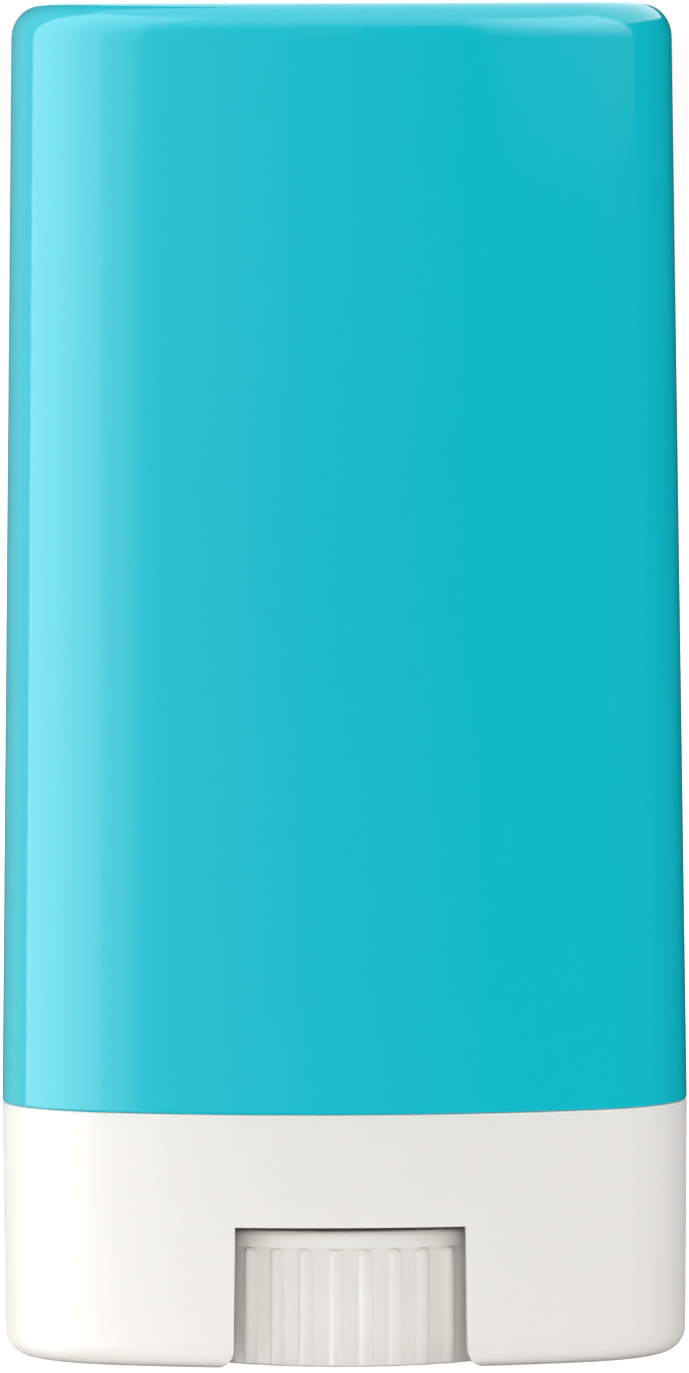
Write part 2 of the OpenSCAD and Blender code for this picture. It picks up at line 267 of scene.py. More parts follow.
def face_outwards(bm):
    """Closes what is open and turns all faces outwards."""
    rim = [edge for edge in bm.edges if edge.is_boundary]
    if rim:
        bmesh.ops.holes_fill(bm, edges=rim, sides=0)
    bmesh.ops.recalc_face_normals(bm, faces=bm.faces[:])


def smooth(bm):
    """Shades the faces smooth, apart from the edges that turn sharply."""
    for face in bm.faces:
        face.smooth = True
    for edge in bm.edges:
        edge.smooth = edge.calc_face_angle(math.pi) < SHARP


def new_object(name, bm):
    """An object at the origin from a bmesh, which is freed."""
    mesh = bpy.data.meshes.new(name)
    bm.to_mesh(mesh)
    bm.free()
    piece = bpy.data.objects.new(name, mesh)
    bpy.context.scene.collection.objects.link(piece)
    return piece


def combine(piece, tool, operation):
    """Cuts a closed tool from a piece or joins it on, and removes the tool."""
    modifier = piece.modifiers.new("tool", "BOOLEAN")
    modifier.object = tool
    modifier.operation = operation
    modifier.solver = "MANIFOLD"
    evaluated = piece.evaluated_get(bpy.context.evaluated_depsgraph_get())
    old, piece.data = piece.data, bpy.data.meshes.new_from_object(evaluated)
    piece.modifiers.clear()
    for mesh in (old, tool.data):
        bpy.data.meshes.remove(mesh)


def dress(piece, node, body, material):
    """Gives a finished piece its material and hands it to the frame in place of its node."""
    bm = bmesh.new()
    bm.from_mesh(piece.data)
    bmesh.ops.dissolve_degenerate(bm, edges=bm.edges[:], dist=10 * MERGE)
    smooth(bm)
    bm.to_mesh(piece.data)
    bm.free()
    piece.data.materials.clear()
    piece.data.materials.append(material)
    weighted = piece.modifiers.new("shading", "WEIGHTED_NORMAL")
    weighted.keep_sharp = True
    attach(piece, body)
    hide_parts(node)


def moulded_skin():
    """The node group that gives a moulding its fine texture. Mottle drifts the colour between
    two tints, Peel is the soft waviness of a gloss surface, and Grain the fine tooth of a
    satin one."""
    name = "moulded_skin"
    if name in bpy.data.node_groups:
        return bpy.data.node_groups[name]
    group = bpy.data.node_groups.new(name, "ShaderNodeTree")
    inputs = (
        ("Tint", "NodeSocketColor"), ("Pale Tint", "NodeSocketColor"),
        ("Mottle Scale", "NodeSocketFloat"), ("Peel Scale", "NodeSocketFloat"),
        ("Grain Scale", "NodeSocketFloat"), ("Grain Share", "NodeSocketFloat"),
        ("Roughness Low", "NodeSocketFloat"), ("Roughness High", "NodeSocketFloat"),
    )
    for socket, kind in inputs:
        group.interface.new_socket(socket, in_out="INPUT", socket_type=kind)
    for socket, kind in (("Color", "NodeSocketColor"), ("Roughness", "NodeSocketFloat"),
                         ("Height", "NodeSocketFloat")):
        group.interface.new_socket(socket, in_out="OUTPUT", socket_type=kind)
    add, link = group.nodes.new, group.links.new
    given, result, place = add("NodeGroupInput"), add("NodeGroupOutput"), add("ShaderNodeTexCoord")

    def noise(scale_socket, detail):
        node = add("ShaderNodeTexNoise")
        node.inputs["Detail"].default_value = detail
        link(place.outputs["Object"], node.inputs["Vector"])
        link(given.outputs[scale_socket], node.inputs["Scale"])
        return node.outputs["Fac"]

    mottle, peel, grain = noise("Mottle Scale", 3), noise("Peel Scale", 1), noise("Grain Scale", 2)
    tint = add("ShaderNodeMix")
    tint.data_type = "RGBA"
    link(mottle, tint.inputs["Factor"])
    link(given.outputs["Tint"], tint.inputs["A"])
    link(given.outputs["Pale Tint"], tint.inputs["B"])
    link(tint.outputs["Result"], result.inputs["Color"])
    rough = add("ShaderNodeMapRange")
    link(mottle, rough.inputs["Value"])
    link(given.outputs["Roughness Low"], rough.inputs["To Min"])
    link(given.outputs["Roughness High"], rough.inputs["To Max"])
    link(rough.outputs["Result"], result.inputs["Roughness"])
    height = add("ShaderNodeMix")
    link(given.outputs["Grain Share"], height.inputs["Factor"])
    link(peel, height.inputs["A"])
    link(grain, height.inputs["B"])
    link(height.outputs["Result"], result.inputs["Height"])
    return group


def moulding(name, tint, pale, roughness, scales, grain_share, relief,
             scatter=0.0, scatter_depth=MM, ior=1.49):
    """A plastic or wax material. roughness holds the lowest and the highest, and scales those
    of the mottle, the peel and the grain."""
    material = bpy.data.materials.new(name)
    material.use_nodes = True
    nodes, link = material.node_tree.nodes, material.node_tree.links.new
    shader = nodes["Principled BSDF"]
    skin = nodes.new("ShaderNodeGroup")
    skin.node_tree = moulded_skin()
    values = {
        "Tint": (*tint, 1), "Pale Tint": (*pale, 1),
        "Mottle Scale": scales[0], "Peel Scale": scales[1], "Grain Scale": scales[2],
        "Grain Share": grain_share,
        "Roughness Low": roughness[0], "Roughness High": roughness[1],
    }
    for socket, value in values.items():
        skin.inputs[socket].default_value = value
    bump = nodes.new("ShaderNodeBump")
    bump.inputs["Strength"].default_value = 1
    bump.inputs["Distance"].default_value = relief
    link(skin.outputs["Color"], shader.inputs["Base Color"])
    link(skin.outputs["Roughness"], shader.inputs["Roughness"])
    link(skin.outputs["Height"], bump.inputs["Height"])
    link(bump.outputs["Normal"], shader.inputs["Normal"])
    shader.inputs["IOR"].default_value = ior
    shader.inputs["Subsurface Weight"].default_value = scatter
    shader.inputs["Subsurface Scale"].default_value = scatter_depth
    shader.inputs["Subsurface Radius"].default_value = (1, 0.9, 0.8)
    return material


def cap_gloss(finish):
    """Gloss turquoise, with the faint orange peel of a polished mould"""
    return moulding("cap_gloss", finish.cap, finish.cap_pale, roughness=(0.07, 0.11),
                    scales=(35, 1700, 6000), grain_share=0.12, relief=0.004 * MM)


def white_satin(finish, name, grain_share):
    """Satin white that lets a little light in"""
    return moulding(name, finish.white, finish.white_pale, roughness=(0.34, 0.42),
                    scales=(60, 900, 5200), grain_share=grain_share, relief=0.008 * MM,
                    scatter=0.3, scatter_depth=0.7 * MM)


def balm_wax(finish):
    """Soft wax with a dull sheen"""
    return moulding("balm_wax", finish.balm, finish.balm_pale, roughness=(0.42, 0.55),
                    scales=(90, 260, 2600), grain_share=0.35, relief=0.05 * MM,
                    scatter=0.6, scatter_depth=2.5 * MM, ior=1.44)


class STICK_OT_cap(bpy.types.Operator):
    """Model the cap"""
    bl_idname = "stick.cap"
    bl_label = "Cap"

    # How far the rim of the top's flat middle lies inside the outline, and the share of the
    # seam's rounding that the cap's inner edge has
    CORE_INSET = 5 * MM
    INNER_SHARE = 0.4

    def execute(self, context):
        pack, cap = context.scene.stick_pack, context.scene.stick_cap
        oval = Oval(pack)
        core = oval.half_width - self.CORE_INSET
        outer, inner = oval.half_width, oval.half_width - cap.wall
        ceiling = pack.height - cap.top
        slope = wall_slope(pack, cap)
        bm = bmesh.new()
        rounded_wire(bm, (
            (core, ceiling, 0),
            (inner - slope * (ceiling - pack.seam), ceiling, cap.inner_edge),
            (inner, pack.seam, self.INNER_SHARE * pack.seam_round),
            (outer, pack.seam, pack.seam_round),
            (outer - slope * (pack.height - pack.seam), pack.height, cap.edge),
            (core, pack.height, 0),
        ))
        sweep(bm, oval)
        face_outwards(bm)
        piece = new_object("cap_shell", bm)
        dress(piece, "cap", "cap", cap_gloss(context.scene.stick_finish))
        return {"FINISHED"}


class STICK_OT_barrel(bpy.types.Operator):
    """Model the barrel with its skirt, windows, deck, boss and neck"""
    bl_idname = "stick.barrel"
    bl_label = "Barrel"

    # How far the sweep reaches in under the deck and over it, a gap that keeps two faces out
    # of one plane, and the margin within which edges count as a window's
    LEDGE = 0.6 * MM
    HAIR = 0.01 * MM
    NEAR = 0.05 * MM

    def shell(self, pack, cap, barrel, oval):
        """The skirt, shoulder and neck in one sweep, with the deck left open in the middle."""
        edge = oval.half_width
        ledge = edge - barrel.skirt_wall - self.LEDGE
        deck_foot = pack.seam - barrel.deck
        neck = edge - barrel.neck
        lean = wall_slope(pack, cap)
        bead_foot = pack.seam + barrel.bead_rise
        bead_top = bead_foot + barrel.bead_width
        bead_out = neck + barrel.bead_height
        chamber = neck - barrel.neck_wall
        bm = bmesh.new()
        rounded_wire(bm, (
            (ledge, deck_foot, 0),
            (edge - barrel.skirt_wall, deck_foot, WIDE_ROUND),
            (edge - barrel.skirt_wall, 0, SMALL_ROUND),
            (edge - barrel.skirt_taper, 0, barrel.foot),
            (edge, pack.seam, pack.seam_round),
            (neck, pack.seam, FINE_ROUND),
            (neck, bead_foot, SOFT_ROUND),
            (bead_out, bead_foot + barrel.bead_slope, SOFT_ROUND),
            (bead_out, bead_top - barrel.bead_slope, SOFT_ROUND),
            (neck - lean * (barrel.bead_rise + barrel.bead_width), bead_top, SOFT_ROUND),
            (neck - lean * (pack.mouth - pack.seam), pack.mouth, barrel.mouth_bevel),
            (chamber, pack.mouth, SMALL_ROUND),
            (chamber, pack.seam, SOFT_ROUND),
            (chamber - self.LEDGE, pack.seam, 0),
        ))
        sweep(bm, oval)
        face_outwards(bm)
        return new_object("barrel_shell", bm)

    def boss_tool(self, pack, barrel):
        """The bearing boss under the deck, sunk a little into it"""
        bm = bmesh.new()
        sunk = pack.seam - barrel.deck / 2
        rounded_wire(bm, ((0, barrel.boss_foot, 0), (barrel.boss, barrel.boss_foot, SMALL_ROUND),
                          (barrel.boss, sunk, 0), (0, sunk, 0)))
        revolve(bm)
        return new_object("boss_tool", bm)

    def round_tool(self, radius, low, high):
        """A plain cylinder on the dial's axis, for the bore and the dial's pocket"""
        bm = bmesh.new()
        rounded_wire(bm, ((0, low, 0), (radius, low, 0), (radius, high, 0), (0, high, 0)))
        revolve(bm)
        return new_object("round_tool", bm)

    def window_tool(self, pack, barrel):
        """A bar through the skirt with the outline of both windows. It ends below the foot,
        where it widens to round the skirt's corners."""
        half, low = barrel.window_width / 2, barrel.window_width / 2 + barrel.window_flare
        corner = barrel.window_corner
        bm = bmesh.new()
        wide = low + corner + PAST
        # The foot's corner is a little below the foot, so that no two faces share a plane.
        foot = -self.HAIR
        rounded_wire(bm, (
            (-half, barrel.window_height, 0), (half, barrel.window_height, 0), (low, foot, corner),
            (wide, foot, 0), (wide, -PAST, 0), (-wide, -PAST, 0), (-wide, foot, 0), (-low, foot, corner),
        ), closed=True)
        bmesh.ops.translate(bm, verts=bm.verts[:], vec=(0, -pack.depth, 0))
        face = bmesh.ops.contextual_create(bm, geom=bm.edges[:])["faces"]
        swept = bmesh.ops.extrude_face_region(bm, geom=face)["geom"]
        moved = [item for item in swept if isinstance(item, bmesh.types.BMVert)]
        bmesh.ops.translate(bm, verts=moved, vec=(0, 2 * pack.depth, 0))
        bmesh.ops.recalc_face_normals(bm, faces=bm.faces[:])
        return new_object("window_tool", bm)

    def round_windows(self, piece, pack, barrel):
        """Rounds the edges where the windows break through the outside of the skirt."""
        reach = barrel.window_width / 2 + barrel.window_flare + barrel.window_corner + self.NEAR
        inside = pack.depth / 2 - barrel.skirt_wall + self.NEAR
        top = barrel.window_height + 2 * self.NEAR
        bm = bmesh.new()
        bm.from_mesh(piece.data)
        bmesh.ops.remove_doubles(bm, verts=bm.verts[:], dist=10 * MERGE)
        edges = [
            edge for edge in bm.edges
            if edge.calc_face_angle(0) > SHARP
            and all(abs(v.co.x) < reach and abs(v.co.y) > inside and v.co.z < top for v in edge.verts)
        ]
        bmesh.ops.bevel(bm, geom=edges, offset=barrel.window_edge, offset_type="OFFSET", affect="EDGES",
                        segments=3, profile=0.5, material=-1, clamp_overlap=True)
        bm.to_mesh(piece.data)
        bm.free()

    def execute(self, context):
        pack, barrel = context.scene.stick_pack, context.scene.stick_barrel
        piece = self.shell(pack, context.scene.stick_cap, barrel, Oval(pack))
        combine(piece, self.boss_tool(pack, barrel), "UNION")
        combine(piece, self.round_tool(barrel.bore, 0, pack.seam + PAST), "DIFFERENCE")
        combine(piece, self.window_tool(pack, barrel), "DIFFERENCE")
        combine(piece, self.round_tool(barrel.pocket, -PAST, barrel.pocket_top), "DIFFERENCE")
        self.round_windows(piece, pack, barrel)
        material = white_satin(context.scene.stick_finish, "barrel_satin", 0.45)
        dress(piece, "barrel", "barrel", material)
        return {"FINISHED"}


class STICK_OT_dial(bpy.types.Operator):
    """Model the ribbed dial, its webs and its screw"""
    bl_idname = "stick.dial"
    bl_label = "Dial and screw"

    COLUMNS_PER_RIB = 20
    ROWS_PER_BEND = 8
    # The small step under the rim and its rounding
    RIM_STEP = 0.02 * MM
    RIM_ROUND = 0.03 * MM
    # The hollow where a rib meets the side, and the depth to which added solids are sunk
    RIB_BLEND = 0.05 * MM
    SUNK = 0.2 * MM
    WEBS = 6
    WEB_EDGE = 0.12 * MM
    SNAP_ROUND = 0.05 * MM
    CREST_ROUND = 0.08 * MM
    STEPS_PER_TURN = 32

    def wheel(self, dial, foot):
        """The dial's shell. One pitch of it is modelled, with its rib, and repeated all round."""
        side, rim = dial.radius - dial.rib_height, dial.radius - dial.rim_inset
        rib_top = dial.top - dial.rim
        inner = (dial.core_hole + dial.journal) / 2
        bend = rib_top - dial.rib_round
        quarter = math.pi / 2 / self.ROWS_PER_BEND
        rows = [
            (side, bend + dial.rib_round * math.sin(quarter * i), 0) for i in range(self.ROWS_PER_BEND)
        ]
        bm = bmesh.new()
        rounded_wire(bm, (
            (inner, dial.top - dial.top_wall, 0),
            (side - dial.wall, dial.top - dial.top_wall, WIDE_ROUND),
            (side - dial.wall, foot, dial.foot_edge),
            (side, foot, dial.foot_edge),
            *rows,
            (side, rib_top, 0),
            (rim, rib_top + self.RIM_STEP, self.RIM_ROUND),
            (rim, dial.top, dial.edge),
            (inner, dial.top, 0),
        ), closed=True)
        pitch = 2 * math.pi / dial.ribs
        # The pitch starts in the middle of a gap, and a gap faces the front.
        to_front = Matrix.Rotation(-math.pi / 2, 3, "Z")
        bmesh.ops.rotate(bm, cent=(0, 0, 0), matrix=to_front, verts=bm.verts[:])
        bmesh.ops.spin(bm, geom=bm.verts[:] + bm.edges[:], cent=(0, 0, 0), axis=(0, 0, 1), angle=pitch,
                       steps=self.COLUMNS_PER_RIB)
        self.raise_rib(bm, dial, foot, side)
        bmesh.ops.spin(bm, geom=bm.verts[:] + bm.edges[:] + bm.faces[:], cent=(0, 0, 0), axis=(0, 0, 1),
                       angle=2 * math.pi - pitch, steps=dial.ribs - 1, use_duplicate=True)
        bmesh.ops.remove_doubles(bm, verts=bm.verts[:], dist=10 * MERGE)
        face_outwards(bm)
        return new_object("dial_and_screw", bm)

    def raise_rib(self, bm, dial, foot, side):
        """Moves the middle of the pitch's side out to a half-round rib with a round top."""
        pitch = 2 * math.pi / dial.ribs
        rib_top = dial.top - dial.rim
        bend, centre, blend = rib_top - dial.rib_round, dial.radius - dial.rib_round, self.RIB_BLEND
        for vert in bm.verts:
            radius = math.hypot(vert.co.x, vert.co.y)
            if radius < side - dial.foot_edge / 2 or vert.co.z > rib_top - MERGE:
                continue
            turn = math.atan2(vert.co.x, -vert.co.y) - pitch / 2
            above = max(0, vert.co.z - bend)
            spare = dial.rib_round ** 2 - above ** 2 - (centre * math.sin(turn)) ** 2
            surface = centre * math.cos(turn) + math.sqrt(spare) if spare > 0 else 0
            # The rib meets the side in a small hollow, and its lower end is rounded too.
            mix = max(0, blend - abs(surface - side)) / blend
            target = max(surface, side) + mix * mix * blend / 4
            low = min(1, max(0, 1 - (vert.co.z - foot) / dial.foot_edge))
            push = 1 + (target - side) * math.sqrt(1 - low ** 2) / radius
            vert.co.x *= push
            vert.co.y *= push

    def spindle(self, dial, pack, foot, tip):
        """The cored journal with its snap bead, and the screw's plain root above it."""
        snap = pack.seam + dial.end_play
        bead = dial.journal + dial.snap_out
        cone = snap + dial.snap_foot + dial.snap_cone
        bm = bmesh.new()
        rounded_wire(bm, (
            (0, pack.seam, 0),
            (dial.core_hole, pack.seam, WIDE_ROUND),
            (dial.core_hole, foot + dial.web_lift, FINE_ROUND),
            (dial.journal, foot + dial.web_lift, FINE_ROUND),
            (dial.journal, snap, 0),
            (bead, snap, self.SNAP_ROUND),
            (bead, snap + dial.snap_foot, self.SNAP_ROUND),
            (dial.root, cone, FINE_ROUND),
            (dial.root, tip, dial.tip_bevel),
            (0, tip, 0),
        ))
        revolve(bm)
        return new_object("spindle_tool", bm)

    def thread(self, dial, tip):
        """The left-hand thread, one ridge that climbs as it turns"""
        inner = dial.root - self.SUNK
        slope = dial.flank / (dial.thread - dial.root)
        half_crest = dial.crest / 2
        half_root = half_crest + slope * (dial.thread - inner)
        turns = (tip - dial.thread_start - dial.crest - dial.tip_plain) / dial.lead
        start = dial.thread_start
        bm = bmesh.new()
        rounded_wire(bm, (
            (inner, start - half_root, 0),
            (dial.thread, start - half_crest, self.CREST_ROUND),
            (dial.thread, start + half_crest, self.CREST_ROUND),
            (inner, start + half_root, 0),
        ), closed=True)
        bmesh.ops.spin(bm, geom=bm.verts[:] + bm.edges[:], cent=(0, 0, 0), axis=(0, 0, 1),
                       dvec=(0, 0, dial.lead / self.STEPS_PER_TURN), angle=-2 * math.pi * turns,
                       steps=round(turns * self.STEPS_PER_TURN))
        face_outwards(bm)
        return new_object("thread_tool", bm)

    def webs(self, dial, foot):
        """The webs that tie the dial's wall to its hub"""
        inner = (dial.core_hole + dial.journal) / 2
        outer = dial.radius - dial.rib_height - dial.wall / 2
        low, high = foot + dial.web_lift, dial.top - dial.top_wall / 2
        bm = bmesh.new()
        for i in range(self.WEBS):
            turn = Matrix.Rotation(i * 2 * math.pi / self.WEBS, 3, "Z")
            bar = bmesh.ops.create_cube(bm, size=1)["verts"]
            bmesh.ops.scale(bm, vec=(outer - inner, dial.web, high - low), verts=bar)
            bmesh.ops.translate(bm, vec=((inner + outer) / 2, 0, (low + high) / 2), verts=bar)
            bmesh.ops.rotate(bm, cent=(0, 0, 0), matrix=turn, verts=bar)
        lower = [e for e in bm.edges if all(abs(v.co.z - low) < MERGE for v in e.verts)]
        bmesh.ops.bevel(bm, geom=lower, offset=self.WEB_EDGE, offset_type="OFFSET", affect="EDGES",
                        segments=2, profile=0.5, material=-1)
        return new_object("web_tool", bm)

    def execute(self, context):
        pack, dial = context.scene.stick_pack, context.scene.stick_dial
        low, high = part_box("dial_screw")
        piece = self.wheel(dial, low.z)
        combine(piece, self.spindle(dial, pack, low.z, high.z), "UNION")
        combine(piece, self.webs(dial, low.z), "UNION")
        combine(piece, self.thread(dial, high.z), "UNION")
        material = white_satin(context.scene.stick_finish, "dial_satin", 0.3)
        dress(piece, "dial_screw", "dial", material)
        return {"FINISHED"}


class STICK_OT_balm(bpy.types.Operator):
    """Model the domed balm with the hollow that the screw runs in"""
    bl_idname = "stick.balm"
    bl_label = "Balm"

    DOME_STEPS = 26
    # The dome stops a little short of the crown, which a small flat closes.
    DOME_END = math.radians(88)
    FOOT_STRIP = 0.8 * MM
    BORE_END_ROUND = 0.4 * MM
    PIN_SIDES = 24

    def screw_tool(self, balm, foot):
        """The hollow round the carriage's hub and the screw"""
        bm = bmesh.new()
        rounded_wire(bm, (
            (0, foot - PAST, 0),
            (balm.hub, foot - PAST, 0),
            (balm.hub, balm.hub_top, SOFT_ROUND),
            (balm.bore, balm.hub_top, 0),
            (balm.bore, balm.bore_top, self.BORE_END_ROUND),
            (0, balm.bore_top, 0),
        ))
        revolve(bm)
        return new_object("screw_tool", bm)

    def key_tool(self, balm, oval, foot):
        """The hollows round the carriage's two fins and four pins"""
        high = foot + balm.key
        fin_end = oval.half_width - balm.inset - balm.fin_margin
        pin_y = oval.half_depth - balm.inset - balm.pin_margin
        bm = bmesh.new()
        fins = bmesh.ops.create_cube(bm, size=1)["verts"]
        bmesh.ops.scale(bm, vec=(2 * fin_end, balm.fin, balm.key + PAST), verts=fins)
        bmesh.ops.translate(bm, vec=(0, 0, (high + foot - PAST) / 2), verts=fins)
        for x in (-oval.end_centre, oval.end_centre):
            for y in (-pin_y, pin_y):
                pin = bmesh.ops.create_cone(bm, cap_ends=True, segments=self.PIN_SIDES, radius1=balm.pin,
                                            radius2=balm.pin, depth=balm.key + PAST)["verts"]
                bmesh.ops.translate(bm, vec=(x, y, (high + foot - PAST) / 2), verts=pin)
        return new_object("key_tool", bm)

    def execute(self, context):
        pack, balm = context.scene.stick_pack, context.scene.stick_balm
        low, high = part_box("balm")
        oval = Oval(pack)
        edge = oval.half_width - balm.inset
        dome_foot = high.z - balm.dome
        bm = bmesh.new()
        rounded_wire(bm, (
            (edge - self.FOOT_STRIP, low.z, 0),
            (edge, low.z, balm.foot_edge),
            (edge, dome_foot, 0),
        ))
        sweep(bm, oval)
        ring = [e for e in bm.edges if e.is_boundary and e.verts[0].co.z > dome_foot - MERGE]
        # The dome's rings shrink towards the crown along a quarter of an ellipse.
        last_shrink, last_height = 1, 0
        for i in range(1, self.DOME_STEPS + 1):
            turn = self.DOME_END * i / self.DOME_STEPS
            shrink, height = math.cos(turn), balm.dome * math.sin(turn) / math.sin(self.DOME_END)
            lifted = bmesh.ops.extrude_edge_only(bm, edges=ring)["geom"]
            ring = [item for item in lifted if isinstance(item, bmesh.types.BMEdge)]
            verts = [item for item in lifted if isinstance(item, bmesh.types.BMVert)]
            ratio = shrink / last_shrink
            bmesh.ops.scale(bm, vec=(ratio, ratio, 1), verts=verts)
            bmesh.ops.translate(bm, vec=(0, 0, height - last_height), verts=verts)
            last_shrink, last_height = shrink, height
        face_outwards(bm)
        piece = new_object("balm_block", bm)
        combine(piece, self.screw_tool(balm, low.z), "DIFFERENCE")
        combine(piece, self.key_tool(balm, oval, low.z), "DIFFERENCE")
        dress(piece, "balm", "carriage", balm_wax(context.scene.stick_finish))
        return {"FINISHED"}


class STICK_OT_carriage(bpy.types.Operator):
    """Finish the carriage, whose solid is kept as it is"""
    bl_idname = "stick.carriage"
    bl_label = "Carriage"

    def execute(self, context):
        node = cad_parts["carriage"]
        node.data.materials.clear()
        node.data.materials.append(white_satin(context.scene.stick_finish, "carriage_satin", 0.7))
        return {"FINISHED"}


def emitter(name, profile, across, climb):
    """The glow of a light card. profile lists places and the strength at each. A place is an
    angle round the pack, or a distance along Y for a card across the top. climb holds the two
    heights between which the glow grows from nothing to its full strength."""
    material = bpy.data.materials.new(name)
    material.use_nodes = True
    nodes, link = material.node_tree.nodes, material.node_tree.links.new
    nodes.clear()
    place, split = nodes.new("ShaderNodeTexCoord"), nodes.new("ShaderNodeSeparateXYZ")
    link(place.outputs["Object"], split.inputs["Vector"])

    def calculate(operation, first, second):
        node = nodes.new("ShaderNodeMath")
        node.operation = operation
        for socket, value in zip(node.inputs, (first, second)):
            if isinstance(value, bpy.types.NodeSocket):
                link(value, socket)
            else:
                socket.default_value = value
        return node.outputs[0]

    def share(value, low, high):
        node = nodes.new("ShaderNodeMapRange")
        link(value, node.inputs["Value"])
        node.inputs["From Min"].default_value, node.inputs["From Max"].default_value = low, high
        return node.outputs["Result"]

    first, last = profile[0][0], profile[-1][0]
    peak = max(strength for _, strength in profile)
    if across:
        along = share(split.outputs["Y"], first, last)
    else:
        forward = calculate("MULTIPLY", split.outputs["Y"], -1)
        turn = calculate("ARCTAN2", split.outputs["X"], forward)
        along = share(turn, math.radians(first), math.radians(last))
    ramp = nodes.new("ShaderNodeValToRGB")
    stops = ramp.color_ramp.elements
    while len(stops) < len(profile):
        stops.new(0.5)
    for stop, (spot, strength) in zip(stops, profile):
        stop.position = (spot - first) / (last - first)
        stop.color = (strength / peak, strength / peak, strength / peak, 1)
    link(along, ramp.inputs["Fac"])
    power = calculate("MULTIPLY", ramp.outputs["Color"], peak)
    if climb:
        power = calculate("MULTIPLY", power, share(split.outputs["Z"], *climb))
    light, out = nodes.new("ShaderNodeEmission"), nodes.new("ShaderNodeOutputMaterial")
    link(power, light.inputs["Strength"])
    link(light.outputs["Emission"], out.inputs["Surface"])
    return material


# Strength of the curved light cards by angle round the pack, in degrees from its front with
# the left negative, and of the card overhead by its distance along Y. The back wall's is the
# same all over, because its angles pass 180 degrees.
SOFTBOX = ((-115.5, 3.3), (-84, 4.3), (-48, 3.1), (-40, 1.6), (-37.5, 0.7))
SPILL = ((-38, 0.6), (-2, 0.2), (30, 0.0))
LEFT_WALL = ((-172, 0.1), (-146, 0.45), (-129, 0.85), (-115, 0.9))
RIGHT_BOX = ((26, 0.6), (45, 3.6), (75, 4.6), (92, 4.2))
BACK_WALL = ((171, 1.5), (189, 1.5))
OVERHEAD = ((-1.05, 0.0), (-0.35, 1.8), (0.20, 1.7), (2.60, 1.4))
# Name, distance from the dial's axis, lower and upper height, strength, and the heights
# between which the glow grows, for a card that fades downwards
CARDS = (
    ("softbox", 0.28, -0.22, 0.78, SOFTBOX, None),
    ("spill", 0.30, -0.05, 0.30, SPILL, None),
    ("left_wall", 0.30, -0.22, 0.60, LEFT_WALL, None),
    ("back_wall", 1.00, -0.20, 0.36, BACK_WALL, None),
    ("right_box", 0.30, 0.06, 0.57, RIGHT_BOX, (0.050, 0.30)),
)
# Name, place, width and height, and power in watts
LAMPS = (
    ("front_lamp", (-0.02, -0.78, 0.34), (0.16, 0.30), 1.25),
    ("left_lamp", (-0.78, -0.02, 0.30), (0.5, 0.6), 2.5),
    ("right_lamp", (0.75, -0.20, 0.30), (0.5, 0.6), 0.9),
    ("top_lamp", (0.0, -0.10, 0.72), (0.8, 0.5), 2.4),
)


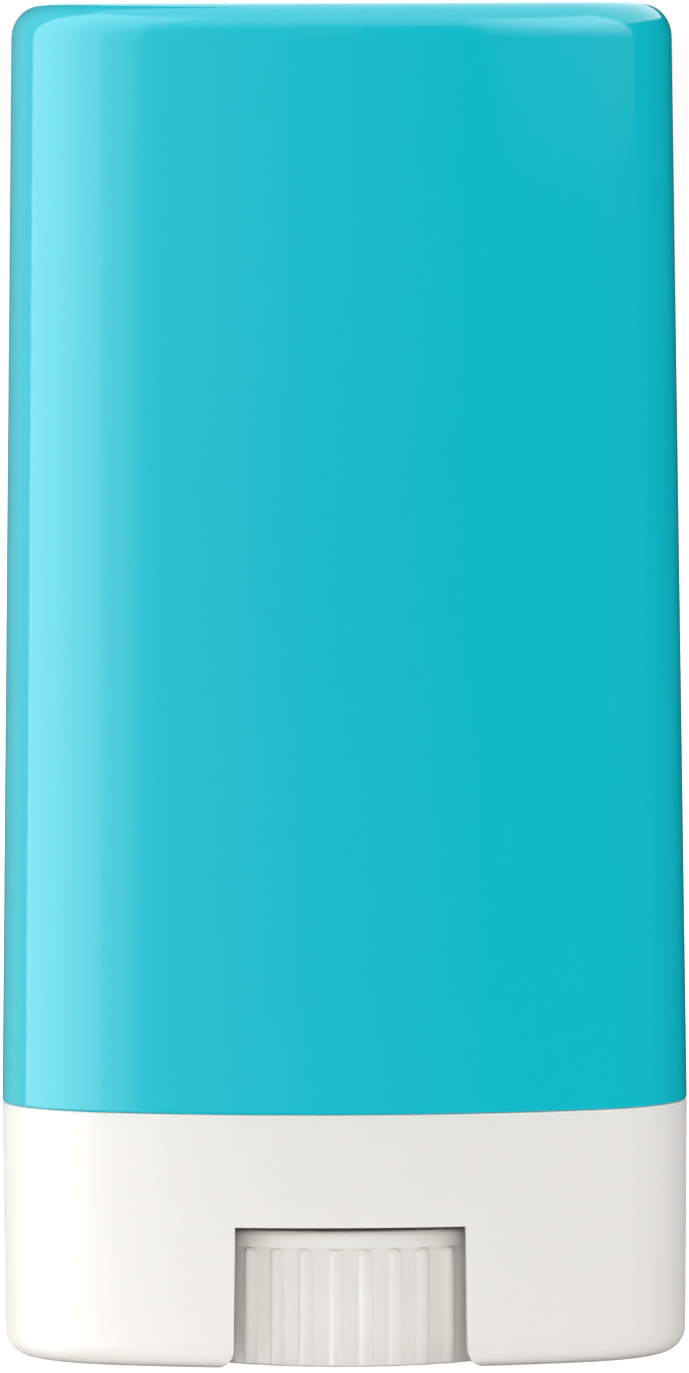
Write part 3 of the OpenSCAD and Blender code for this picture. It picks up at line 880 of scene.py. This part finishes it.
class STICK_OT_stage(bpy.types.Operator):
    """Set up the floor, the light cards, the lamps, the world and the camera"""
    bl_idname = "stick.stage"
    bl_label = "Studio"

    FLOOR_HALF = 8
    PAPER = (0.85, 0.85, 0.85, 1)
    PAPER_ROUGHNESS = 0.8
    WHITE = (1, 1, 1, 1)
    # Strength of the paper's and the room's glow, first for other rays, then for the camera's
    PAPER_GLOW = (0.1, 0.75)
    ROOM_GLOW = (0.30, 1)
    CARD_STEPS = 32
    OVERHEAD_HEIGHT = 0.75
    OVERHEAD_HALF_WIDTH = 1.2
    # The height on the axis that the lamps look at
    LAMP_AIM = 0.03
    SENSOR_MM = 36
    CLIP = (0.01, 20)

    def lay_floor(self):
        """A pale floor that runs out to where the eye takes it for the backdrop"""
        bm = bmesh.new()
        bmesh.ops.create_grid(bm, x_segments=1, y_segments=1, size=self.FLOOR_HALF)
        floor = new_object("floor", bm)
        paper = bpy.data.materials.new("paper")
        paper.use_nodes = True
        nodes, link = paper.node_tree.nodes, paper.node_tree.links.new
        shader = nodes["Principled BSDF"]
        shader.inputs["Base Color"].default_value = self.PAPER
        shader.inputs["Roughness"].default_value = self.PAPER_ROUGHNESS
        shader.inputs["Emission Color"].default_value = self.WHITE
        # The camera sees the paper washed out to white, as in the photograph.
        link(self.glow(nodes, link, self.PAPER_GLOW), shader.inputs["Emission Strength"])
        floor.data.materials.append(paper)
        floor.visible_glossy = False

    def glow(self, nodes, link, strengths):
        """A strength that differs between the camera's own rays and all others"""
        path, strength = nodes.new("ShaderNodeLightPath"), nodes.new("ShaderNodeMapRange")
        strength.inputs["To Min"].default_value, strength.inputs["To Max"].default_value = strengths
        link(path.outputs["Is Camera Ray"], strength.inputs["Value"])
        return strength.outputs["Result"]

    def card(self, name, distance, low, high, profile, climb):
        """A curved light card round the pack, which only reflections show"""
        first, last = math.radians(profile[0][0]), math.radians(profile[-1][0])
        bm = bmesh.new()
        ends = [bm.verts.new((0, -distance, z)) for z in (low, high)]
        wire = bm.edges.new(ends)
        bmesh.ops.rotate(bm, cent=(0, 0, 0), matrix=Matrix.Rotation(first, 3, "Z"), verts=ends)
        bmesh.ops.spin(bm, geom=[*ends, wire], cent=(0, 0, 0), axis=(0, 0, 1), angle=last - first,
                       steps=self.CARD_STEPS)
        self.reflections_only(new_object(name, bm), emitter(name, profile, False, climb))

    def overhead(self, name, profile):
        """A flat light card over the pack, which only reflections show"""
        low, high = profile[0][0], profile[-1][0]
        bm = bmesh.new()
        verts = bmesh.ops.create_grid(bm, x_segments=1, y_segments=1, size=0.5)["verts"]
        bmesh.ops.scale(bm, vec=(2 * self.OVERHEAD_HALF_WIDTH, high - low, 1), verts=verts)
        bmesh.ops.translate(bm, vec=(0, (low + high) / 2, self.OVERHEAD_HEIGHT), verts=verts)
        self.reflections_only(new_object(name, bm), emitter(name, profile, True, None))

    def reflections_only(self, card, material):
        """Gives a light card its glow and hides it from all but mirror-like rays."""
        card.data.materials.append(material)
        card.visible_camera = False
        card.visible_diffuse = False
        card.visible_shadow = False

    def area(self, name, place, size, power):
        """A soft lamp that looks at the middle of the pack"""
        lamp = bpy.data.lights.new(name, "AREA")
        lamp.shape = "RECTANGLE"
        lamp.size, lamp.size_y = size
        lamp.energy = power
        light = bpy.data.objects.new(name, lamp)
        light.location = place
        look = Vector((0, 0, self.LAMP_AIM)) - light.location
        light.rotation_euler = look.to_track_quat("-Z", "Y").to_euler()
        light.visible_camera = False
        light.visible_glossy = False
        bpy.context.scene.collection.objects.link(light)

    def sky(self, scene):
        """Even light from all round, and white where the camera looks past the floor"""
        scene.world = bpy.data.worlds.new("room")
        scene.world.use_nodes = True
        nodes, link = scene.world.node_tree.nodes, scene.world.node_tree.links.new
        back = nodes["Background"]
        back.inputs["Color"].default_value = self.WHITE
        link(self.glow(nodes, link, self.ROOM_GLOW), back.inputs["Strength"])
        scene.world.cycles_visibility.glossy = False

    def camera(self, scene, studio):
        """The photograph's view: a long lens, a little above the pack and to its left"""
        lens = bpy.data.cameras.new("camera")
        lens.lens, lens.sensor_width, lens.sensor_fit = studio.lens, self.SENSOR_MM, "AUTO"
        lens.clip_start, lens.clip_end = self.CLIP
        eye = bpy.data.objects.new("camera", lens)
        scene.collection.objects.link(eye)
        left, forward = math.sin(studio.turn), math.cos(studio.turn)
        eye.location = (-studio.distance * left, -studio.distance * forward, studio.rise)
        look = Vector((studio.aside, 0, studio.aim)) - eye.location
        level = look.to_track_quat("-Z", "Y").to_matrix()
        eye.rotation_euler = (level @ Matrix.Rotation(studio.roll, 3, "Z")).to_euler()
        scene.camera = eye

    def execute(self, context):
        scene = context.scene
        scene.view_settings.view_transform = "Standard"
        self.lay_floor()
        for settings in CARDS:
            self.card(*settings)
        self.overhead("overhead", OVERHEAD)
        for settings in LAMPS:
            self.area(*settings)
        self.sky(scene)
        self.camera(scene, scene.stick_studio)
        return {"FINISHED"}


class VIEW3D_PT_stick(bpy.types.Panel):
    """Lists the pieces and their sizes"""
    bl_label = "Twist-up Stick"
    bl_idname = "VIEW3D_PT_stick"
    bl_space_type = "VIEW_3D"
    bl_region_type = "UI"
    bl_category = "Twist-up Stick"

    def draw(self, context):
        for group, operators in PANEL_ROWS:
            box = self.layout.box()
            settings = getattr(context.scene, group)
            for name in settings.__annotations__:
                box.prop(settings, name)
            for operator in operators:
                box.operator(operator)


PANEL_ROWS = (
    ("stick_pack", ()),
    ("stick_cap", ("stick.cap",)),
    ("stick_barrel", ("stick.barrel",)),
    ("stick_dial", ("stick.dial",)),
    ("stick_balm", ("stick.balm", "stick.carriage")),
    ("stick_finish", ()),
    ("stick_studio", ("stick.stage",)),
)
SETTINGS = {
    "stick_pack": PackSizes, "stick_cap": CapSizes, "stick_barrel": BarrelSizes, "stick_dial": DialSizes,
    "stick_balm": BalmSizes, "stick_finish": Finish, "stick_studio": Studio,
}
CLASSES = (
    *SETTINGS.values(), STICK_OT_cap, STICK_OT_barrel, STICK_OT_dial, STICK_OT_balm,
    STICK_OT_carriage, STICK_OT_stage, VIEW3D_PT_stick,
)


def register():
    for cls in CLASSES:
        bpy.utils.register_class(cls)
    for name, group in SETTINGS.items():
        setattr(bpy.types.Scene, name, PointerProperty(type=group))


def unregister():
    for name in SETTINGS:
        delattr(bpy.types.Scene, name)
    for cls in reversed(CLASSES):
        bpy.utils.unregister_class(cls)


def main():
    register()
    bpy.ops.stick.cap()
    bpy.ops.stick.barrel()
    bpy.ops.stick.dial()
    bpy.ops.stick.balm()
    bpy.ops.stick.carriage()
    bpy.ops.stick.stage()


if __name__ == "__main__":
    main()
